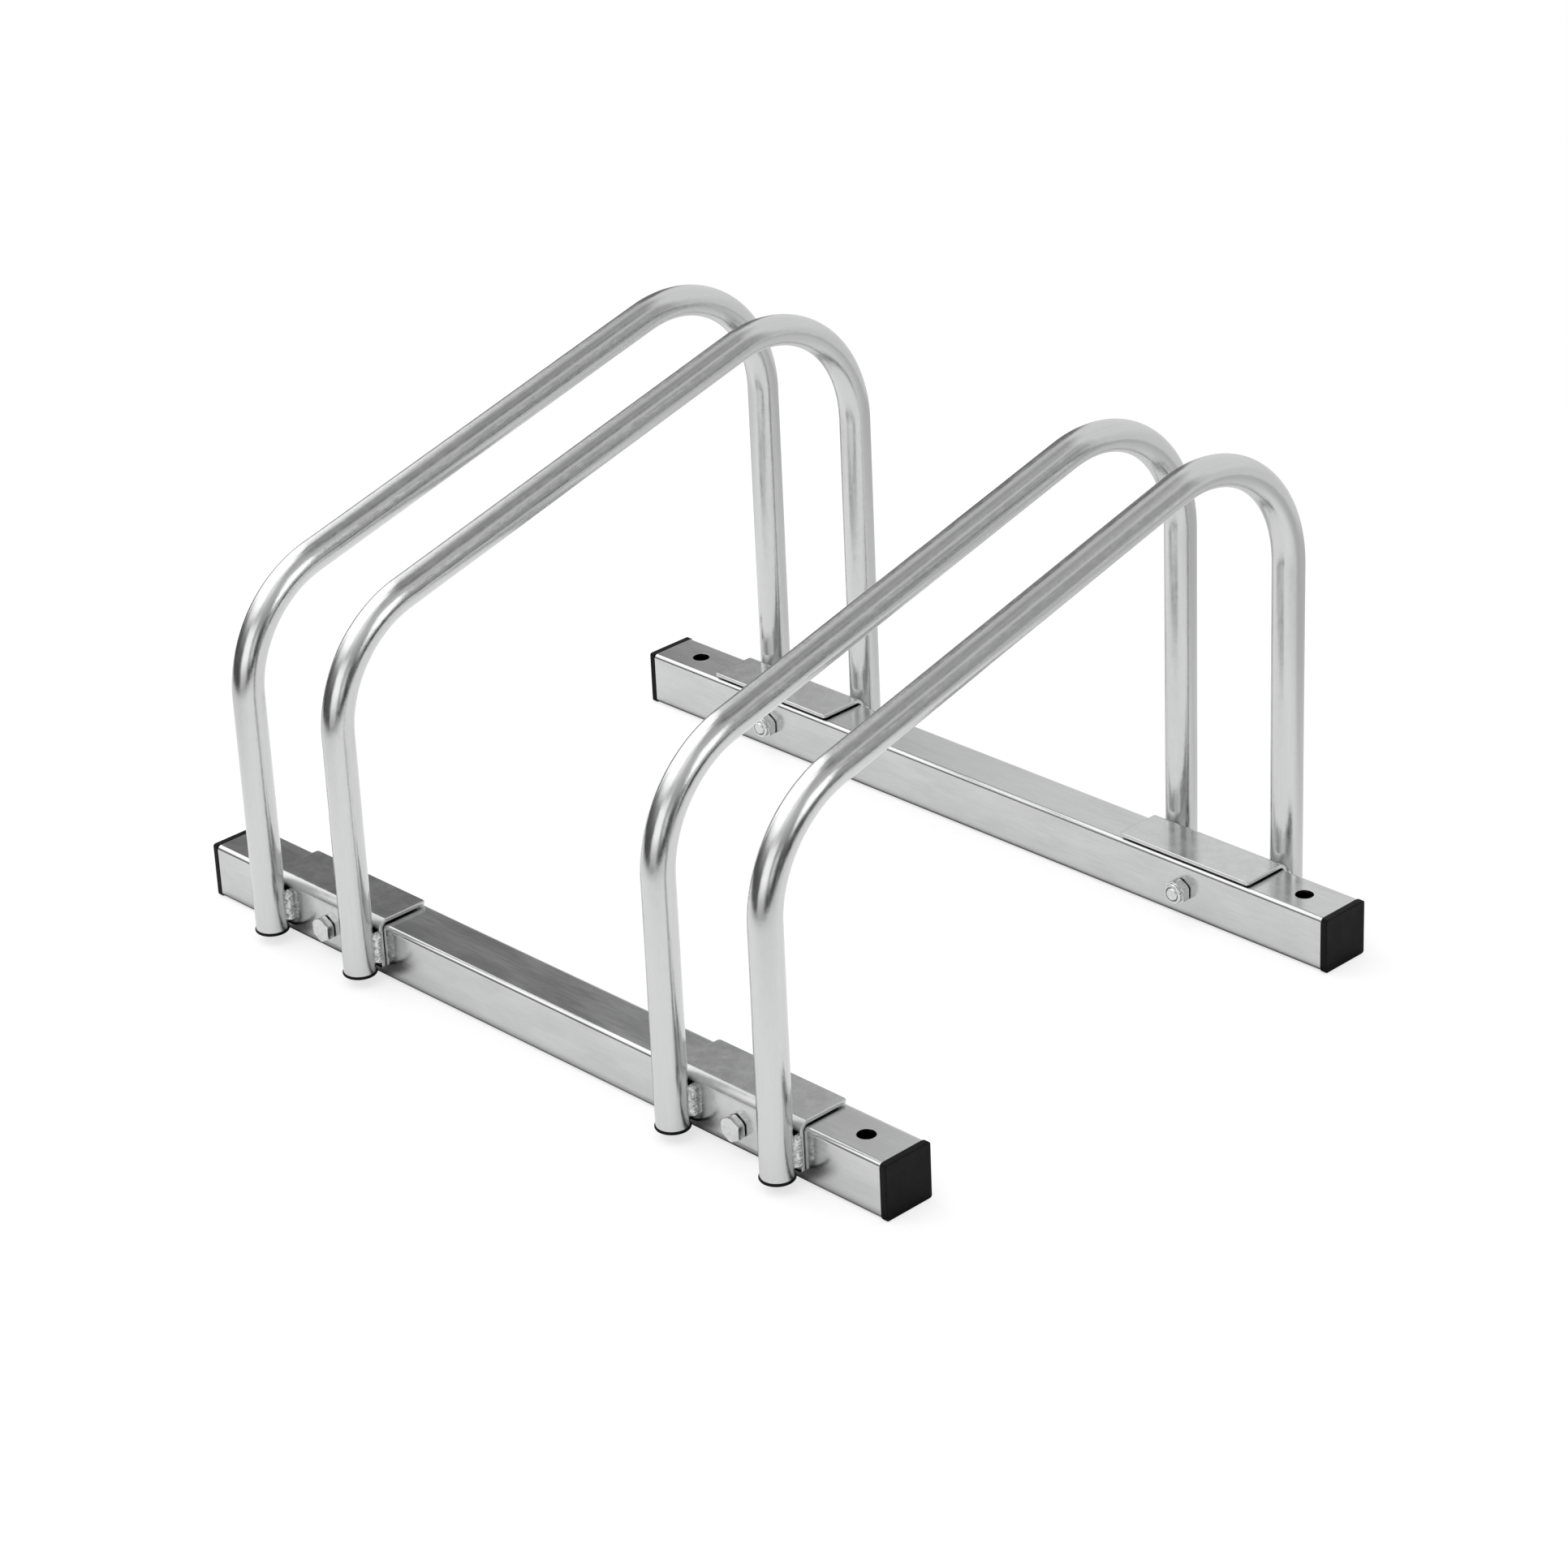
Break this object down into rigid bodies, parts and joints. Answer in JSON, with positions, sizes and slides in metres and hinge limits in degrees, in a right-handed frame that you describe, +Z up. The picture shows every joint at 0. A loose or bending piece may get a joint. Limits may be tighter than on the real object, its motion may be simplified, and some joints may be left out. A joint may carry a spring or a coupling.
{
  "type": "bike rack",
  "caption": "Low floor bike rack of zinc-plated steel: bent tube hoops in pairs hold a front wheel, bolted by angle brackets to square floor rails with black end plugs.",
  "frame": {"origin": "on the floor, in the middle of the rack, under the centre of its box", "axes": "+X along the floor rails, +Y from the front rail (low end of the hoops) to the rear rail, +Z up"},
  "size_m": [0.4114, 0.3204, 0.225],
  "materials": {
    "zinc_rail": "bright zinc plate, satin, on square tube",
    "zinc_tube": "bright zinc plate with fine lengthwise grain, on round tube",
    "zinc_bracket": "bright zinc plate, satin, on bent plate",
    "weld_bead": "zinc-plated weld bead, lumpy",
    "zinc_fastener": "bright zinc plate on cold-formed fasteners",
    "black_plug": "fine-textured black moulded plastic",
    "black_cap": "smooth black moulded plastic",
    "nylon_ring": "natural nylon"
  },
  "bodies": {
    "root": {"front_rail": "zinc_rail", "rear_rail": "zinc_rail", "rail_plug_front_left": "black_plug", "rail_plug_front_right": "black_plug", "rail_plug_rear_left": "black_plug", "rail_plug_rear_right": "black_plug", "hoop_left_outer": "zinc_tube", "hoop_left_inner": "zinc_tube", "hoop_right_inner": "zinc_tube", "hoop_right_outer": "zinc_tube", "cap_front_left_outer": "black_cap", "cap_front_left_inner": "black_cap", "cap_front_right_inner": "black_cap", "cap_front_right_outer": "black_cap", "cap_rear_left_outer": "black_cap", "cap_rear_left_inner": "black_cap", "cap_rear_right_inner": "black_cap", "cap_rear_right_outer": "black_cap", "bracket_front_left": "zinc_bracket", "bracket_front_right": "zinc_bracket", "bracket_rear_left": "zinc_bracket", "bracket_rear_right": "zinc_bracket", "welds_front_left": "weld_bead", "welds_front_right": "weld_bead", "welds_rear_left": "weld_bead", "welds_rear_right": "weld_bead", "bolt_front_left": "zinc_fastener", "bolt_front_right": "zinc_fastener", "bolt_rear_left": "zinc_fastener", "bolt_rear_right": "zinc_fastener", "nut_front_left": "zinc_fastener", "nut_front_right": "zinc_fastener", "nut_rear_left": "zinc_fastener", "nut_rear_right": "zinc_fastener", "nut_ring_front_left": "nylon_ring", "nut_ring_front_right": "nylon_ring", "nut_ring_rear_left": "nylon_ring", "nut_ring_rear_right": "nylon_ring"}
  },
  "joints": []
}
